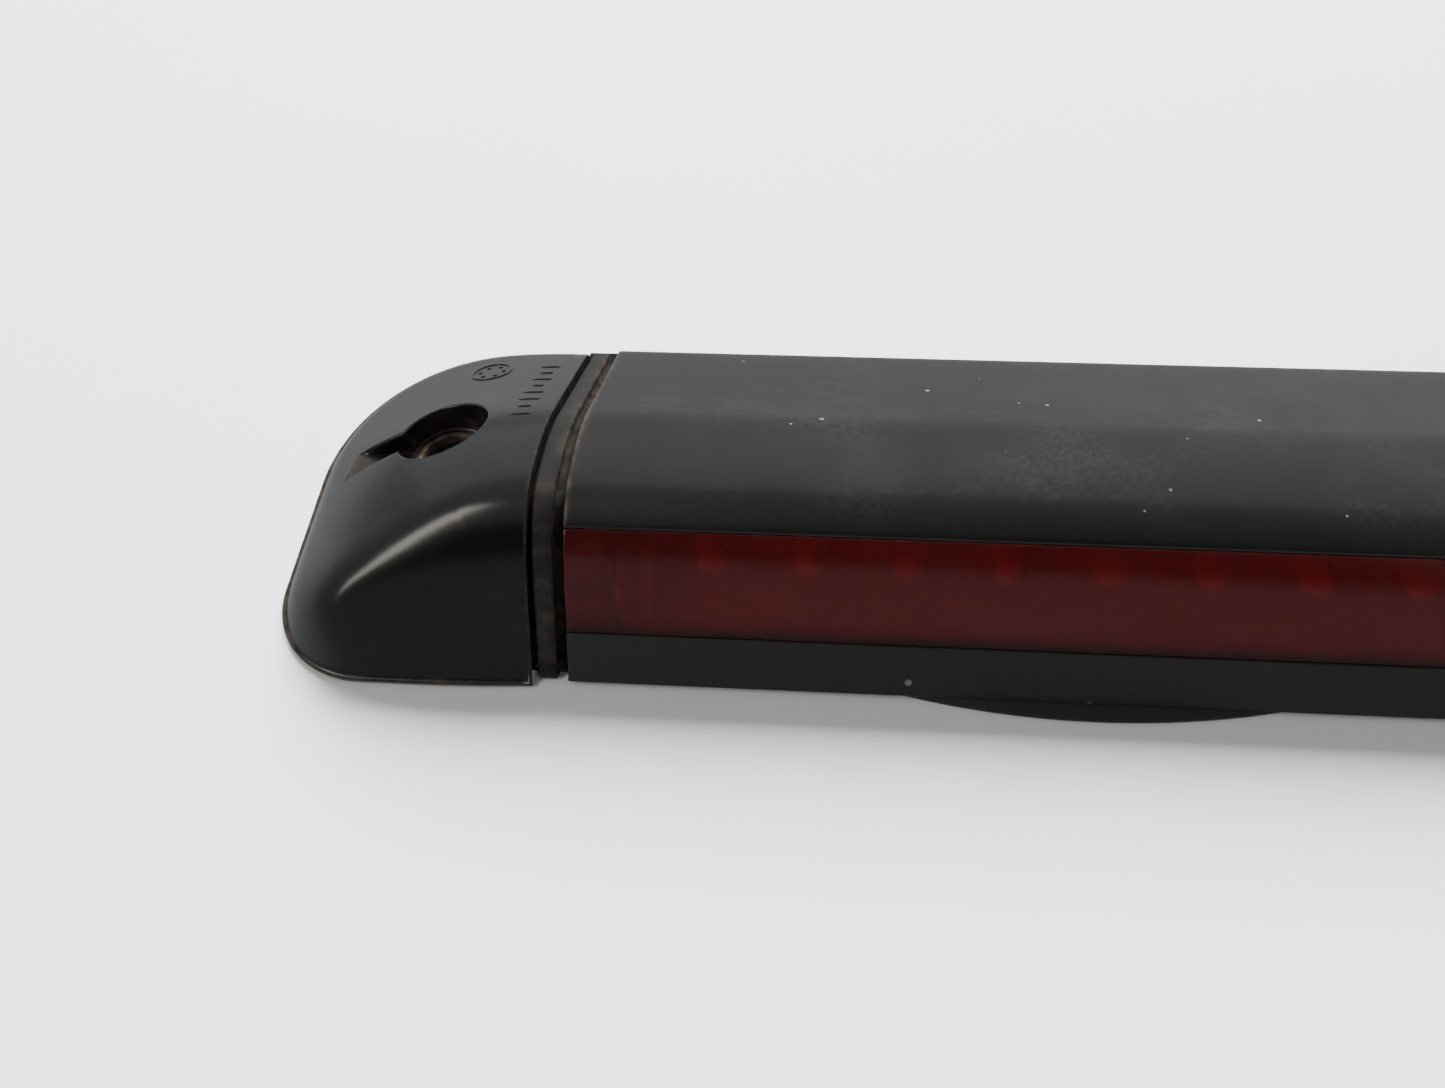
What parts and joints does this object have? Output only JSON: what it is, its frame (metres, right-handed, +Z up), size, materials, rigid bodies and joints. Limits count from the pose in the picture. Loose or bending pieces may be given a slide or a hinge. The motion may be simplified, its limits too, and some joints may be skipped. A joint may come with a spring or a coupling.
{
  "type": "led stop lamp bar",
  "caption": "Long black vehicle stop lamp bar with a red LED window in its sloped front and domed end caps with sunk screw pockets.",
  "frame": {"origin": "bottom centre of the whole lamp, on the plane that the base pad rests on", "axes": "+X along the bar to its right end, window faces -Y, +Z up away from the body it is fastened to"},
  "size_m": [0.4232, 0.072, 0.0234],
  "materials": {
    "cover_black": "satin black, lightly scuffed",
    "window_red": "tinted clear red, polished",
    "strip_black": "matte black",
    "housing_black": "fine moulded grain",
    "holder_red": "semi-gloss",
    "board_green": "solder-masked board",
    "led_red": "tinted clear domes",
    "component_black": "matte",
    "screw_steel": "zinc plated",
    "gasket_rubber": "dusty matte rubber",
    "cap_black": "glossy black, dirt at the edges",
    "collar_metal": "dull, dusty",
    "pad_rubber": "matte foam rubber",
    "socket_grey": "moulded grain",
    "contact_brass": "tin-washed",
    "lead_red": "smooth insulation",
    "vent_grey": "moulded grain"
  },
  "bodies": {
    "root": {"cover": "cover_black", "window": "window_red", "front_strip": "strip_black", "base_plate": "housing_black", "led_holder": "holder_red", "led_board": "board_green", "leds": "led_red", "led_resistors": "component_black", "driver_chips": "component_black", "board_screws": "screw_steel", "holder_screws": "screw_steel", "end_bracket_left": "housing_black", "end_bracket_right": "housing_black", "bracket_screws": "screw_steel", "end_gasket_left": "gasket_rubber", "end_gasket_right": "gasket_rubber", "end_cap_left": "cap_black", "end_cap_right": "cap_black", "screw_collar_left": "collar_metal", "screw_collar_right": "collar_metal", "collar_seal_left": "pad_rubber", "collar_seal_right": "pad_rubber", "base_pad": "pad_rubber", "inlet_socket": "socket_grey", "socket_pins": "contact_brass", "jumper_leads": "lead_red", "vent_plug": "vent_grey"}
  },
  "joints": []
}
